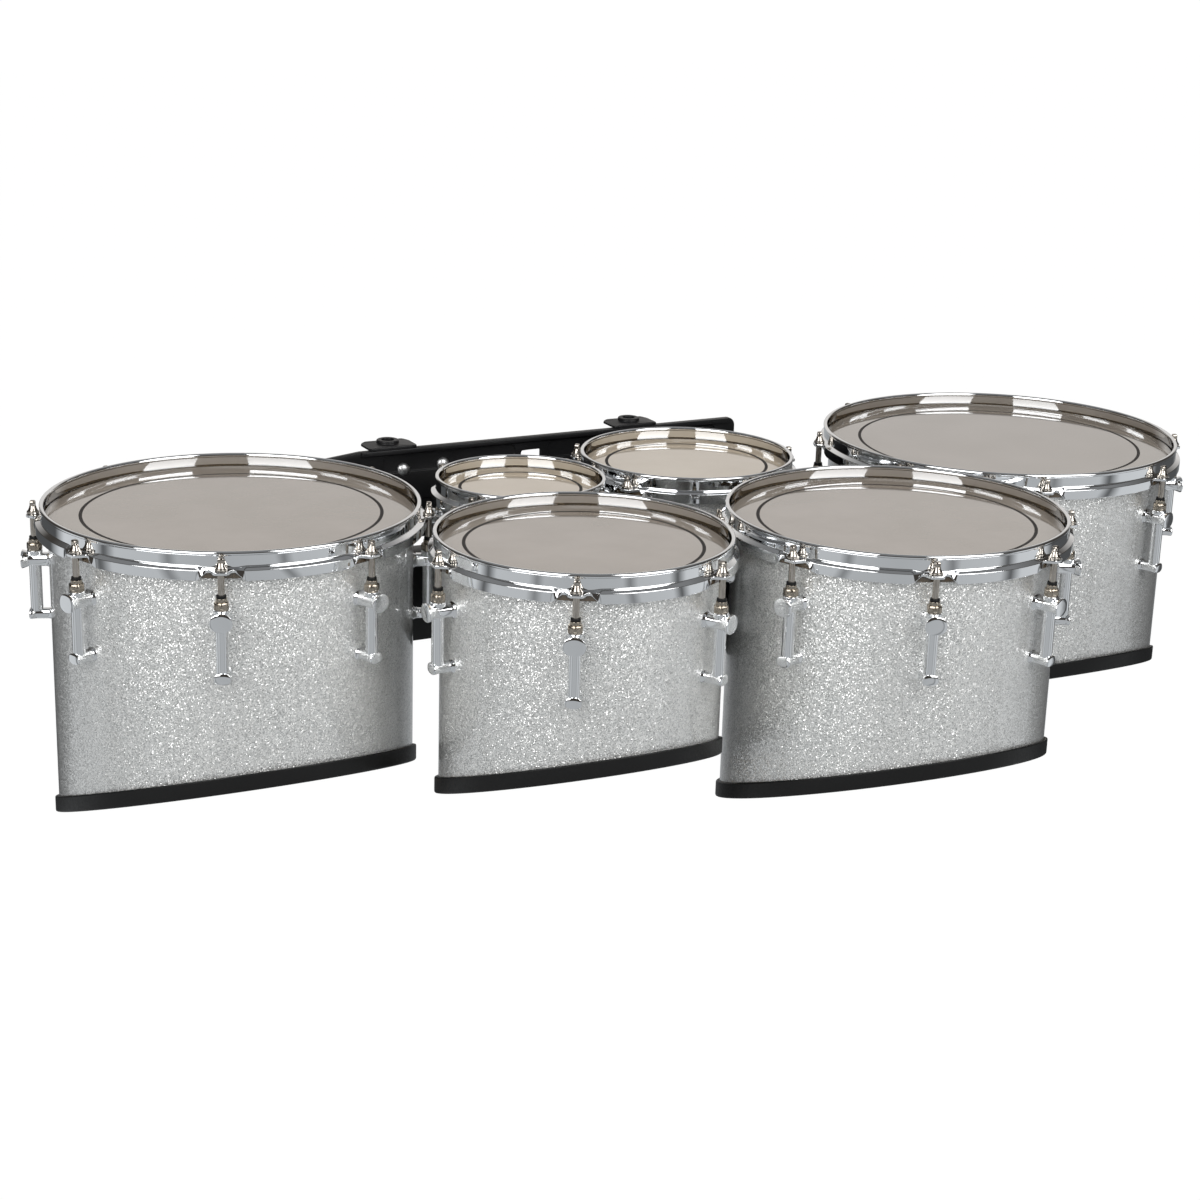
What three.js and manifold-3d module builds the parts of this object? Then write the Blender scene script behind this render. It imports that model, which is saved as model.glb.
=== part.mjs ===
// Marching tenor drums: six tunable single-headed drums on one carrier rail.
// Millimetres, +Z up. +Y points to the player, -Y to the audience.
// The origin is the middle of the rail plate's flat rear face.
import * as THREE from 'three';
import { mergeVertices } from 'three/addons/utils/BufferGeometryUtils.js';
import Module from 'manifold-3d';

const wasm = await Module();
wasm.setup();

const inch = 25.4;

// Clearances
const seatGap = 0.3; // between two pieces that touch
const overrun = 3; // how far a cutting tool runs past the face it opens
const hoopClearance = 1.5; // between the hoop skirts of neighbouring drums
const lugClearance = 3.5; // between a lug and the neighbour's shell
const lugCapRoom = 12; // for two lugs that point at each other side by side

// Facets
const mainSegments = 20;
const smallSegments = 16;
const lugSegments = 5;
const postSegments = 5;
const boreSegments = 8;
const rodSegments = 5;

// Shells
const shellWall = 6;
const scoopShare = 0.38; // fall of the slanted bottom towards the player, as a share of the way there
const edgeHeight = 16; // rubber edging, measured down the shell
const edgeProud = 3.6;
const edgeFloor = 4;

// Hoops, measured from the shell's outer face and down from the hoop's top
const hoopReach = 7;
const hoopWall = 3.3;
const hoopHeight = 14.5;
const flangeThickness = 2.4;
const skirtReach = 11;
const skirtWall = 2;
const skirtDepth = 25;
const rodReach = 14;
const earRadius = 6.5;
const notchHalfWidth = 16;

// Heads
const headDrop = 12.4; // playing surface below the hoop's top
const filmThickness = 0.8;
const collarReach = 1.3;
const fleshRingHeight = 6;
const fleshRingMargin = 0.5; // between the flesh ring and the hoop's skirt

// Tension rods
const rodRadius = 2.9;
const rodKeyRadius = 3.2;
const rodTipDrop = 2.5; // key end below the hoop's top
const rodCollarRadius = 5.6;
const rodLength = 64;
const rodHoleMargin = 0.9;

// Lugs, heights measured down from the hoop's top
const lugReach = 26;
const cupTop = 36;
const cupHeight = 12.6;
const cupRadius = 6.6;
const tubeRadius = 5.7;
const upperPostDrop = 57.8;
const upperPostRadius = 6.6;
const upperCapRadius = 9.2;
const upperCapFlare = 7; // length over which the post widens to its cap
const lowerPostDrop = 109.5;
const lowerPostRadius = 5;
const lowerPostReach = 20.5;
const swivelDepth = 32; // depth of the threaded hole under the cup's top

// The rail plate
const plateThickness = 6;
const plateHeight = 97;
const plateLeft = 266;
const plateRight = 234;
const plateCornerRadius = 9;
const plateSlopeLength = 54;
const plateSlopeDrop = 6;
const lipDepth = 3;
const lipHeight = 5;
const panelDepth = 2;
const panelTopMargin = 6;
const panelHeight = 19;
const panelRound = 9;
const lowerPanelDrop = 55;
const lowerPanelHeight = 28;
const panelEndMargin = 24;
const slotWidth = 24;
const slotHeight = 11;
const slotAside = 17; // left of the middle
const slotTopMargin = 14.5;
const slotPanelMargin = 6.5;
const plateToHoops = 21.5; // the plate's top edge below the hoops' tops
const legWidth = 46;
const legSpan = 190;
const legMiddle = 24;

// The frame under the plate
const beamTopDrop = 127; // below the hoops' tops
const beamHeight = 86;
const beamDepth = 54;
const beamWall = 4;
const beamLeft = 214;
const beamRight = 234;
const wingThickness = 16;
const wingHeight = 56;
const wingMargin = 12;
const spineThickness = 11;
const spineHeight = 52;
const frontPlateDrop = 98;
const frontPlateHeight = 86;
const frontPlateThickness = 6;
const frontPlateClear = 6.1; // between the front plate and the small drum behind it
const frontPlateLeft = 74;
const frontPlateRight = 92;
const strutWidth = 18;
const strutHeight = 46;
const strutDrop = 128;

// Brackets of the two small drums
const bracketHeight = 38;
const bracketWidth = 30;

// Receivers for the carrier's hooks
const receiverSpan = 284;
const receiverAside = 33; // their middle, left of the plate's middle
const receiverLength = 58;
const receiverDepth = 30;
const receiverHeight = 3.1; // above the plate's top edge
const receiverBore = 13;
const collarRadius = 12.5;
const collarHeight = 3.3;
const socketRadius = 11;
const socketLength = 58;

// Drums: the depth on the axis below the hoop's top, the number of lugs, and the first lug's
// turn in degrees from the direction of the neighbour that it has to miss
const sixDiameter = 6 * inch;
const sixDepth = 165;
const sixLugs = 4;
const sixLugTurn = 45;
const sixBracketRise = 12; // from the edging's upper end to the bracket
const eightDiameter = 8 * inch;
const eightDepth = 185;
const eightLugs = 5;
const eightLugTurn = 0;
const eightBracketRise = 41.6;
const tenDiameter = 10 * inch;
const tenDepth = 230;
const tenLugs = 6;
const tenLugTurn = -18.35;
const twelveDiameter = 12 * inch;
const twelveDepth = 266;
const twelveLugs = 8;
const twelveLugTurn = -15.2;
const thirteenDiameter = 13 * inch;
const thirteenDepth = 281;
const thirteenLugs = 8;
const thirteenLugTurn = 18.1;
const fourteenDiameter = 14 * inch;
const fourteenDepth = 282;
const fourteenLugs = 8;
const fourteenLugTurn = -15.3;
const lugTurnStep = 1; // degrees, where a changed size leaves a lug no room

// The gaps between the drums' shells
const smallDrumDrop = 8; // the two small drums sit lower
const nestedGap = 2 * skirtReach + hoopClearance;
const lugGap = lugReach + lugClearance;
const facingLugGap = lugReach + lugCapRoom;
const plateRoom = 15;
const eightAside = 78; // the 8 inch drum's middle, right of the plate's middle
const eightToBeam = 8.4;
const sixToBeam = 57.8;
const twelveTurn = 12; // degrees from the 8 inch drum's front to the 12 inch drum
const fourteenToEight = 68;
const thirteenToSix = 55;

const hoopTop = plateHeight / 2 + plateToHoops;
const shellTopDrop = headDrop + filmThickness + seatGap;
const beamFront = -(plateThickness + seatGap + beamDepth);

const chrome = new THREE.MeshStandardMaterial({ color: 0xd8dbe0, roughness: 0.08, metalness: 1 });
const nickel = new THREE.MeshStandardMaterial({ color: 0xb9b0a0, roughness: 0.18, metalness: 1 });
const glitter = new THREE.MeshStandardMaterial({ color: 0xc9ccd0, roughness: 0.35, metalness: 0.6 });
const film = new THREE.MeshStandardMaterial({ color: 0xbcb4aa, roughness: 0.4, metalness: 0 });
const smallFilm = new THREE.MeshStandardMaterial({ color: 0xd6cbbb, roughness: 0.4, metalness: 0 });
const rubber = new THREE.MeshStandardMaterial({ color: 0x141414, roughness: 0.75, metalness: 0 });
const blackPaint = new THREE.MeshStandardMaterial({ color: 0x0c0c0d, roughness: 0.4, metalness: 0.3 });

// Geometry to manifold solid and back

function solid(geometry) {
  const bare = geometry.index ? geometry : mergeVertices(geometry);
  bare.deleteAttribute('normal');
  bare.deleteAttribute('uv');
  const merged = mergeVertices(bare, 1e-4);
  return new wasm.Manifold(new wasm.Mesh({
    numProp: 3,
    vertProperties: new Float32Array(merged.attributes.position.array),
    triVerts: new Uint32Array(merged.index.array),
  }));
}

function geometryOf(shape) {
  const mesh = shape.getMesh();
  const geometry = new THREE.BufferGeometry();
  const positions = new Float32Array(mesh.vertProperties);
  geometry.setAttribute('position', new THREE.BufferAttribute(positions, 3));
  geometry.setIndex(new THREE.BufferAttribute(new Uint32Array(mesh.triVerts), 1));
  geometry.computeVertexNormals();
  return geometry;
}

// Building blocks

function upright(radius, top, bottom, segments, turn = 0) {
  const geometry = new THREE.CylinderGeometry(radius, radius, top - bottom, segments);
  geometry.rotateX(Math.PI / 2);
  geometry.rotateZ(turn);
  geometry.translate(0, 0, (top + bottom) / 2);
  return solid(geometry);
}

function box(x0, x1, y0, y1, z0, z1) {
  const geometry = new THREE.BoxGeometry(x1 - x0, y1 - y0, z1 - z0);
  geometry.translate((x0 + x1) / 2, (y0 + y1) / 2, (z0 + z1) / 2);
  return solid(geometry);
}

// An outline of radii and heights, drawn from the top outwards and down, turned about the axis
function turned(points, segments) {
  const upwards = points.map(([r, z]) => new THREE.Vector2(r, z)).reverse();
  const geometry = new THREE.LatheGeometry(upwards, segments);
  geometry.rotateX(Math.PI / 2);
  return solid(geometry);
}

function ring(outer, inner, top, bottom, segments) {
  return upright(outer, top, bottom, segments)
    .subtract(upright(inner, top + overrun, bottom - overrun, segments));
}

function aboutZ(shape, degrees) {
  return shape.rotate([0, 0, degrees]);
}

// Everything below the slanted plane that crosses the axis at height z
function belowScoop(z, size) {
  const geometry = new THREE.BoxGeometry(size, size, size);
  geometry.translate(0, 0, -size / 2);
  geometry.rotateX(-Math.atan(scoopShare));
  geometry.translate(0, 0, z);
  return solid(geometry);
}

// Layout: each drum's middle follows from the shell gaps to its neighbours

function touching(a, gapA, b, gapB, radius, side) {
  const ra = a.radius + gapA + radius;
  const rb = b.radius + gapB + radius;
  const dx = b.x - a.x;
  const dy = b.y - a.y;
  const span = Math.hypot(dx, dy);
  const along = (ra * ra - rb * rb + span * span) / (2 * span);
  const off = side * Math.sqrt(ra * ra - along * along);
  return {
    x: a.x + (dx * along - dy * off) / span,
    y: a.y + (dy * along + dx * off) / span,
  };
}

// The direction of a drum from its neighbour, in degrees from the front towards +X
function bearing(from, to) {
  return THREE.MathUtils.radToDeg(Math.atan2(to.x - from.x, from.y - to.y));
}

// A place on each of a drum's lugs, that far out from its shell and that far to its side
function lugPlaces(drum, reach, aside) {
  return lugAngles(drum).map((angle) => {
    const turn = THREE.MathUtils.degToRad(angle);
    const out = drum.radius + reach;
    return {
      x: drum.x + out * Math.sin(turn) + aside * Math.cos(turn),
      y: drum.y - out * Math.cos(turn) + aside * Math.sin(turn),
    };
  });
}

// Whether an ear of a drum's hoop meets another drum's hoop
function crowdsHoop(drum, other) {
  const near = other.radius + skirtReach + earRadius;
  return lugPlaces(drum, rodReach, 0).some((place) => {
    return Math.hypot(place.x - other.x, place.y - other.y) < near;
  });
}

// Whether the outer end of a drum's lug meets a lug of another drum
function crowdsLugs(drum, other) {
  const ends = [-upperCapRadius, 0, upperCapRadius].flatMap((aside) => {
    return lugPlaces(drum, lugReach, aside);
  });
  return ends.some((end) => lugAngles(other).some((angle) => {
    const turn = THREE.MathUtils.degToRad(angle);
    const dx = end.x - other.x;
    const dy = end.y - other.y;
    const out = dx * Math.sin(turn) - dy * Math.cos(turn);
    const aside = dx * Math.cos(turn) + dy * Math.sin(turn);
    return out > 0 && out < other.radius + lugReach + seatGap
      && Math.abs(aside) < upperCapRadius + seatGap;
  }));
}

// Sets the lugs at their turn from a neighbour's direction, or on from there in small steps
// until they clear the other drums' hoops and the lugs set before
function turnLugs(drum, neighbour, turn, all) {
  const others = all.filter((other) => other !== drum);
  const set = others.filter((other) => other.firstLug !== undefined);
  const start = bearing(drum, neighbour) + turn;
  for (let step = 0; step < 360 / drum.lugs; step += lugTurnStep) {
    drum.firstLug = start + step;
    const crowded = others.some((other) => crowdsHoop(drum, other))
      || set.some((other) => crowdsHoop(other, drum))
      || set.some((other) => crowdsLugs(drum, other) || crowdsLugs(other, drum));
    if (!crowded) return;
  }
  drum.firstLug = start;
}

function describe(name, diameter, depth, lugs, drop) {
  return {
    name, depth, lugs,
    radius: diameter / 2,
    top: hoopTop - drop,
    segments: drop > 0 ? smallSegments : mainSegments,
    looseRods: drop === 0,
  };
}

function layout() {
  const six = describe('6', sixDiameter, sixDepth, sixLugs, smallDrumDrop);
  const eight = describe('8', eightDiameter, eightDepth, eightLugs, smallDrumDrop);
  const ten = describe('10', tenDiameter, tenDepth, tenLugs, 0);
  const twelve = describe('12', twelveDiameter, twelveDepth, twelveLugs, 0);
  const thirteen = describe('13', thirteenDiameter, thirteenDepth, thirteenLugs, 0);
  const fourteen = describe('14', fourteenDiameter, fourteenDepth, fourteenLugs, 0);
  eight.x = eightAside;
  eight.y = beamFront - eightToBeam - eight.radius;
  six.y = beamFront - sixToBeam - six.radius;
  six.x = eight.x - Math.sqrt((six.radius + eight.radius + nestedGap) ** 2 - (six.y - eight.y) ** 2);
  const reach = eight.radius + twelve.radius + nestedGap + plateRoom;
  const turn = THREE.MathUtils.degToRad(twelveTurn);
  twelve.x = eight.x + reach * Math.sin(turn);
  twelve.y = eight.y - reach * Math.cos(turn);
  Object.assign(ten, touching(twelve, lugGap, six, nestedGap, ten.radius, 1));
  Object.assign(fourteen, touching(twelve, nestedGap, eight, fourteenToEight, fourteen.radius, -1));
  Object.assign(thirteen, touching(ten, facingLugGap, six, thirteenToSix, thirteen.radius, 1));
  const all = [six, eight, ten, twelve, thirteen, fourteen];
  turnLugs(twelve, fourteen, twelveLugTurn, all);
  turnLugs(fourteen, twelve, fourteenLugTurn, all);
  turnLugs(eight, twelve, eightLugTurn, all);
  turnLugs(ten, six, tenLugTurn, all);
  turnLugs(six, ten, sixLugTurn, all);
  turnLugs(thirteen, ten, thirteenLugTurn, all);
  return { 6: six, 8: eight, 10: ten, 12: twelve, 13: thirteen, 14: fourteen };
}

function lugAngles(drum) {
  return Array.from({ length: drum.lugs }, (_, i) => drum.firstLug + i * 360 / drum.lugs);
}

// Drum pieces, made about the drum's axis with the hoop's top at height zero

function lug(radius) {
  const stem = turned([
    [0, -cupTop], [cupRadius, -cupTop], [cupRadius, -cupTop - cupHeight],
    [tubeRadius, -cupTop - cupHeight], [tubeRadius, -lowerPostDrop], [0, -lowerPostDrop],
  ], lugSegments);
  const hole = upright(rodRadius + rodHoleMargin, -cupTop + overrun, -cupTop - swivelDepth, rodSegments);
  const root = shellWall / 2; // the posts' bolts start inside the shell's wall
  const upper = turned([
    [0, lugReach + root], [upperCapRadius, lugReach + root],
    [upperPostRadius, lugReach - upperCapFlare], [upperPostRadius, 0], [0, 0],
  ], postSegments).rotate([90, 0, 0]);
  const lower = upright(lowerPostRadius, lowerPostReach + root, 0, postSegments).rotate([90, 0, 0]);
  return stem.translate([0, -rodReach, 0])
    .add(upper.translate([0, root, -upperPostDrop]))
    .add(lower.translate([0, root, -lowerPostDrop]))
    .subtract(hole.translate([0, -rodReach, 0]))
    .translate([0, -radius, 0]);
}

function shell(drum) {
  const size = 4 * drum.radius + drum.depth;
  const bottom = -drum.depth - drum.radius;
  let body = ring(drum.radius, drum.radius - shellWall, -shellTopDrop, bottom, drum.segments)
    .subtract(belowScoop(-drum.depth + edgeFloor + seatGap, size));
  for (const angle of lugAngles(drum)) body = body.add(aboutZ(lug(drum.radius), angle));
  return body;
}

function edging(drum) {
  const size = 4 * drum.radius + drum.depth;
  const inner = drum.radius - shellWall;
  const bottom = -drum.depth - drum.radius;
  const rebate = upright(drum.radius + seatGap, 0, bottom, drum.segments)
    .subtract(belowScoop(-drum.depth + edgeFloor, size));
  return ring(drum.radius + edgeProud, inner, 0, bottom, drum.segments)
    .intersect(belowScoop(-drum.depth + edgeHeight, size))
    .subtract(belowScoop(-drum.depth, size))
    .subtract(rebate);
}

function head(drum) {
  const inner = drum.radius + seatGap;
  const outer = drum.radius + collarReach;
  const rim = drum.radius + skirtReach - skirtWall - fleshRingMargin;
  const ringTop = -hoopHeight - flangeThickness - seatGap;
  const under = -headDrop - filmThickness;
  return turned([
    [0, -headDrop], [outer, -headDrop], [outer, ringTop], [rim, ringTop],
    [rim, ringTop - fleshRingHeight], [inner, ringTop - fleshRingHeight], [inner, under], [0, under],
  ], drum.segments);
}

function hoop(drum) {
  const outer = drum.radius + hoopReach;
  const inner = outer - hoopWall;
  const skirt = drum.radius + skirtReach;
  const flangeTop = -hoopHeight;
  const flangeUnder = flangeTop - flangeThickness;
  let body = turned([
    [inner, 0], [outer, 0], [outer, flangeTop], [skirt, flangeTop], [skirt, -skirtDepth],
    [skirt - skirtWall, -skirtDepth], [skirt - skirtWall, flangeUnder], [inner, flangeUnder], [inner, 0],
  ], drum.segments);
  const rodY = -drum.radius - rodReach;
  const earHalfWidth = earRadius * Math.cos(Math.PI / lugSegments);
  for (const angle of lugAngles(drum)) {
    const notch = box(-notchHalfWidth, notchHalfWidth, rodY, -drum.radius,
      -skirtDepth - overrun, flangeUnder);
    const ear = upright(earRadius, flangeTop, flangeUnder, lugSegments).translate([0, rodY, 0])
      .add(box(-earHalfWidth, earHalfWidth, rodY, -drum.radius - hoopReach, flangeUnder, flangeTop));
    body = body.subtract(aboutZ(notch, angle)).add(aboutZ(ear, angle));
    if (drum.looseRods) {
      const hole = upright(rodRadius + rodHoleMargin, overrun, -skirtDepth, rodSegments);
      body = body.subtract(aboutZ(hole.translate([0, rodY, 0]), angle));
    } else {
      body = body.add(aboutZ(tensionRod(drum), angle));
    }
  }
  return body;
}

function tensionRod(drum) {
  const collarUnder = -hoopHeight + seatGap;
  return turned([
    [0, -rodTipDrop], [rodKeyRadius, -rodTipDrop], [rodCollarRadius, collarUnder],
    [rodRadius, collarUnder], [rodRadius, -rodTipDrop - rodLength], [0, -rodTipDrop - rodLength],
  ], rodSegments).translate([0, -drum.radius - rodReach, 0]);
}

// Rail pieces, made in the part's own frame

function rounded(x0, x1, z0, z1, radius) {
  const shape = new THREE.Shape();
  shape.moveTo(x0 + radius, z0);
  shape.lineTo(x1 - radius, z0);
  shape.absarc(x1 - radius, z0 + radius, radius, -Math.PI / 2, 0);
  shape.lineTo(x1, z1 - radius);
  shape.absarc(x1 - radius, z1 - radius, radius, 0, Math.PI / 2);
  shape.lineTo(x0 + radius, z1);
  shape.absarc(x0 + radius, z1 - radius, radius, Math.PI / 2, Math.PI);
  shape.lineTo(x0, z0 + radius);
  shape.absarc(x0 + radius, z0 + radius, radius, Math.PI, Math.PI * 3 / 2);
  return shape;
}

// An outline in X and Z pushed from y0 to y1
function pushed(shape, y0, y1) {
  const settings = { depth: y1 - y0, bevelEnabled: false, curveSegments: 3 };
  const geometry = new THREE.ExtrudeGeometry(shape, settings);
  geometry.rotateX(Math.PI / 2);
  geometry.translate(0, y1, 0);
  return solid(geometry);
}

function railPlate() {
  const top = plateHeight / 2;
  const bottom = -top;
  const outline = new THREE.Shape();
  outline.moveTo(-plateLeft, bottom);
  const corner = plateCornerRadius;
  outline.lineTo(plateRight - corner, bottom);
  outline.absarc(plateRight - corner, bottom + corner, corner, -Math.PI / 2, 0);
  outline.lineTo(plateRight, top - corner);
  outline.absarc(plateRight - corner, top - corner, corner, 0, Math.PI / 2);
  outline.lineTo(-plateLeft + plateSlopeLength, top);
  outline.lineTo(-plateLeft, top - plateSlopeDrop);
  let plate = pushed(outline, -plateThickness, 0);
  const lip = box(-plateLeft + plateSlopeLength, plateRight - corner, -plateThickness - lipDepth,
    -plateThickness / 2, top - lipHeight, top);
  plate = plate.add(lip);
  const slotLeft = -slotAside - slotWidth / 2;
  const slotRight = slotLeft + slotWidth;
  const panelLeft = -plateLeft + panelEndMargin;
  const panelRight = plateRight - panelEndMargin;
  const panels = [
    [panelLeft + plateSlopeLength, slotLeft - slotPanelMargin, panelTopMargin, panelHeight],
    [slotRight + slotPanelMargin, panelRight, panelTopMargin, panelHeight],
    [panelLeft, panelRight, lowerPanelDrop, lowerPanelHeight],
  ];
  for (const [x0, x1, drop, height] of panels) {
    const recess = pushed(rounded(x0, x1, top - drop - height, top - drop, panelRound),
      -plateThickness - overrun, -plateThickness + panelDepth);
    plate = plate.subtract(recess);
  }
  const slotTop = top - slotTopMargin;
  const slot = rounded(slotLeft, slotRight, slotTop - slotHeight, slotTop, slotHeight / 4);
  plate = plate.subtract(pushed(slot, -plateThickness - overrun, overrun));
  const legBottom = hoopTop - beamTopDrop - beamHeight;
  for (const side of [-1, 1]) {
    const middle = legMiddle + side * legSpan / 2;
    const leg = box(middle - legWidth / 2, middle + legWidth / 2, -plateThickness, 0,
      legBottom, bottom + overrun);
    plate = plate.add(leg);
  }
  return plate;
}

// A flat bar from a point of the plan into a drum's wall
function barTo(drum, from, thickness, z0, z1) {
  const dx = drum.x - from.x;
  const dy = drum.y - from.y;
  const length = Math.hypot(dx, dy) - drum.radius + shellWall;
  return box(0, length, -thickness / 2, thickness / 2, z0, z1)
    .rotate([0, 0, THREE.MathUtils.radToDeg(Math.atan2(dy, dx))])
    .translate([from.x, from.y, 0]);
}

function lowerFrame(drums) {
  const top = hoopTop - beamTopDrop;
  const bottom = top - beamHeight;
  const beamRear = -plateThickness - seatGap;
  const beam = box(-beamLeft, beamRight, beamFront, beamRear, bottom, top)
    .subtract(box(-beamLeft + beamWall, beamRight - beamWall, beamFront + beamWall, beamRear - beamWall,
      bottom - overrun, top - beamWall));
  const wingTop = top - wingMargin;
  const wingStart = (beamFront + beamRear) / 2;
  const wing = (drum, x) => {
    return barTo(drum, { x, y: wingStart }, wingThickness, wingTop - wingHeight, wingTop);
  };
  const plateRear = Math.min(drums['8'].y - drums['8'].radius, drums['6'].y - drums['6'].radius)
    - frontPlateClear;
  const frontTop = hoopTop - frontPlateDrop;
  const plate = box(-frontPlateLeft, frontPlateRight, plateRear - frontPlateThickness, plateRear,
    frontTop - frontPlateHeight, frontTop);
  const spineX = (drums['6'].x + drums['6'].radius + drums['8'].x - drums['8'].radius) / 2;
  const spineTop = frontTop - frontPlateHeight + spineHeight;
  const spine = box(spineX - spineThickness / 2, spineX + spineThickness / 2,
    plateRear - frontPlateThickness / 2, beamFront + beamWall / 2, spineTop - spineHeight, spineTop);
  const strutTop = hoopTop - strutDrop;
  const plateMiddle = plateRear - frontPlateThickness / 2;
  const strut = (drum, x) => {
    return barTo(drum, { x, y: plateMiddle }, strutWidth, strutTop - strutHeight, strutTop);
  };
  let frame = beam
    .add(wing(drums['13'], -beamLeft + beamWall / 2))
    .add(wing(drums['14'], beamRight - beamWall / 2))
    .add(spine).add(plate)
    .add(strut(drums['10'], -frontPlateLeft + strutWidth / 2))
    .add(strut(drums['12'], frontPlateRight - strutWidth / 2));
  for (const drum of Object.values(drums)) {
    const room = upright(drum.radius + seatGap, frontTop + overrun, bottom - overrun, drum.segments);
    frame = frame.subtract(room.translate([drum.x, drum.y, 0]));
  }
  return frame;
}

function smallDrumBracket(drum, rise) {
  const rearEdge = drum.top - drum.depth - scoopShare * drum.radius;
  const top = rearEdge + edgeHeight + rise + bracketHeight;
  const reach = Math.sqrt(drum.radius ** 2 - (bracketWidth / 2) ** 2);
  const block = box(drum.x - bracketWidth / 2, drum.x + bracketWidth / 2, drum.y + reach - shellWall,
    beamFront - seatGap, top - bracketHeight, top);
  return block.subtract(upright(drum.radius + seatGap, top + overrun, top - bracketHeight - overrun,
    drum.segments).translate([drum.x, drum.y, 0]));
}

function receiver(middle) {
  const seat = plateHeight / 2 + seatGap;
  const boreY = seatGap + socketRadius;
  const rear = boreY + socketRadius;
  const outline = rounded(middle - receiverLength / 2, middle + receiverLength / 2, seat,
    seat + receiverHeight, receiverHeight / 3);
  return pushed(outline, rear - receiverDepth, rear)
    .add(upright(collarRadius, seat + receiverHeight + collarHeight, seat, boreSegments)
      .translate([middle, boreY, 0]))
    .add(upright(socketRadius, seat + receiverHeight / 2, seat - socketLength, boreSegments)
      .translate([middle, boreY, 0]))
    .subtract(upright(receiverBore / 2, seat + receiverHeight + collarHeight + overrun,
      seat - socketLength - overrun, boreSegments).translate([middle, boreY, 0]));
}

// The assembly

const group = new THREE.Group();

function place(name, shape, material, parent = group) {
  const mesh = new THREE.Mesh(geometryOf(shape), material);
  mesh.name = name;
  parent.add(mesh);
}

const drums = layout();
for (const drum of Object.values(drums)) {
  const stand = new THREE.Group();
  stand.position.set(drum.x, drum.y, drum.top);
  group.add(stand);
  place(`shell_${drum.name}`, shell(drum), glitter, stand);
  place(`edge_trim_${drum.name}`, edging(drum), rubber, stand);
  place(`head_${drum.name}`, head(drum), drum.looseRods ? film : smallFilm, stand);
  place(`hoop_${drum.name}`, hoop(drum), chrome, stand);
  if (drum.looseRods) {
    lugAngles(drum).forEach((angle, i) => {
      place(`rod_${drum.name}_${i + 1}`, aboutZ(tensionRod(drum), angle), nickel, stand);
    });
  }
}
place('rail_plate', railPlate(), blackPaint);
place('lower_frame', lowerFrame(drums), blackPaint);
place('bracket_6', smallDrumBracket(drums['6'], sixBracketRise), blackPaint);
place('bracket_8', smallDrumBracket(drums['8'], eightBracketRise), blackPaint);
place('receiver_left', receiver(-receiverAside - receiverSpan / 2), blackPaint);
place('receiver_right', receiver(-receiverAside + receiverSpan / 2), blackPaint);

export default group;
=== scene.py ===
"""Looks of the marching tenor drums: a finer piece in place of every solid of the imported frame."""
import math

import bmesh
import bpy
import numpy as np
from mathutils import Matrix, Vector


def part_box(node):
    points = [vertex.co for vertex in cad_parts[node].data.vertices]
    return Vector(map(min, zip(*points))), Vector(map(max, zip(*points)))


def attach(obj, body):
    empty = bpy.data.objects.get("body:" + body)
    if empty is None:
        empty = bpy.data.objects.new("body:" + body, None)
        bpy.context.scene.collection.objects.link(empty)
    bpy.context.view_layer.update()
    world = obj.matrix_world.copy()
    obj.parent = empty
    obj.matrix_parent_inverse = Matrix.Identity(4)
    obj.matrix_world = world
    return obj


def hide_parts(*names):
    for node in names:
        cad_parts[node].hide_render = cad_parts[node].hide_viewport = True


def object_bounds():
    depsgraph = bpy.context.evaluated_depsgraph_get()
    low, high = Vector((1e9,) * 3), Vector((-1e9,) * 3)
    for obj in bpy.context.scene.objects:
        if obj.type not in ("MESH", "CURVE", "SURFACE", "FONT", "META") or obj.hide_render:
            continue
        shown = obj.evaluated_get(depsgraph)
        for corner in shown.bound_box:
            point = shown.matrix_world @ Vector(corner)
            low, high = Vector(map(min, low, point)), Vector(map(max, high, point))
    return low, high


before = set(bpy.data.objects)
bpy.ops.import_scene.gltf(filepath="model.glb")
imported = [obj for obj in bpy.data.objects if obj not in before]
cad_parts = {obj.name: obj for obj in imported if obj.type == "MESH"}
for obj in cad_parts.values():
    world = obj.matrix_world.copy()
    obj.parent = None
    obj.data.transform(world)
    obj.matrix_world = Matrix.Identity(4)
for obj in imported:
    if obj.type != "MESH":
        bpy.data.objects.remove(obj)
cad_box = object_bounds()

MM = 0.001
INCH = 25.4 * MM
ROOT = "drum_set"

# The photograph's camera: focal length in its own pixels, and its place in the part's frame
PHOTO_PIXELS = 1200
FOCAL_PIXELS = 2365.33
SENSOR = 36.0
CAMERA_PLACE = Vector((-1107.34, -2195.0, 642.97)) * MM
CAMERA_AZIMUTH = math.radians(28.298)
CAMERA_PITCH = math.radians(17.577)
CAMERA_ROLL = math.radians(-1.738)
CAMERA_REACH = 50

# Lamps that metal doesn't mirror: name, place, aim and size in metres, power in watts
LAMPS = (
    ("ceiling", (0.0, -0.3, 2.6), (0, -0.3, 0), (5.0, 4.0), 12),
    ("fill", (-1.25, -2.55, 1.6), (0, -0.3, -0.1), (1.6, 1.2), 25),
)

# Upright softboxes: name, and the ends of the line that each stands on in the plan, in millimetres
BOXES = (
    ("right_box", (-165, -2386), (1193, -1910)),
    ("left_box", (-1527, -2054), (-2700, -750)),
)
BOX_LOW = 0.3
BOX_TOP = 2.8
BOX_RADIANCE = 4.4

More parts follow.
